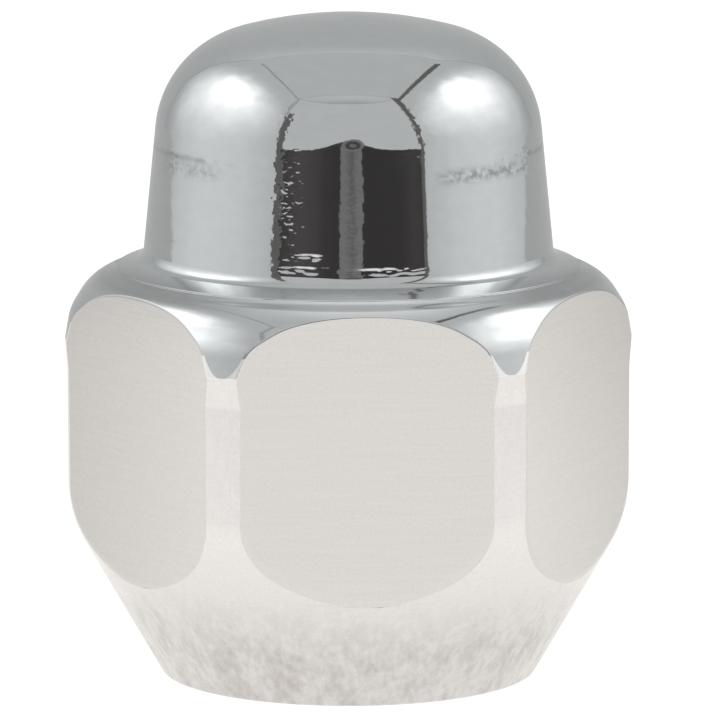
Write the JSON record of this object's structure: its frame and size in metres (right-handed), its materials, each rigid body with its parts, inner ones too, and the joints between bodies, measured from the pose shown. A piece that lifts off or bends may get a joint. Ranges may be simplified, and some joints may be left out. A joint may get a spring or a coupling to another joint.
{
  "type": "closed-end lug nut",
  "caption": "Chrome-plated closed-end wheel nut: wrench hexagon with a conical seat below, a plain dome above and a blind tapped hole.",
  "frame": {"origin": "centre of the small end face that the nut stands on, on the thread axis", "axes": "+Z along the thread axis, from the small end towards the dome; a pair of wrench flats faces -Y and +Y"},
  "size_m": [0.0236, 0.021, 0.0275],
  "materials": {
    "chrome": "bright chrome plate, mirror-like on the dome, satin on the conical seat"
  },
  "bodies": {
    "root": {"lug_nut": "chrome"}
  },
  "joints": []
}
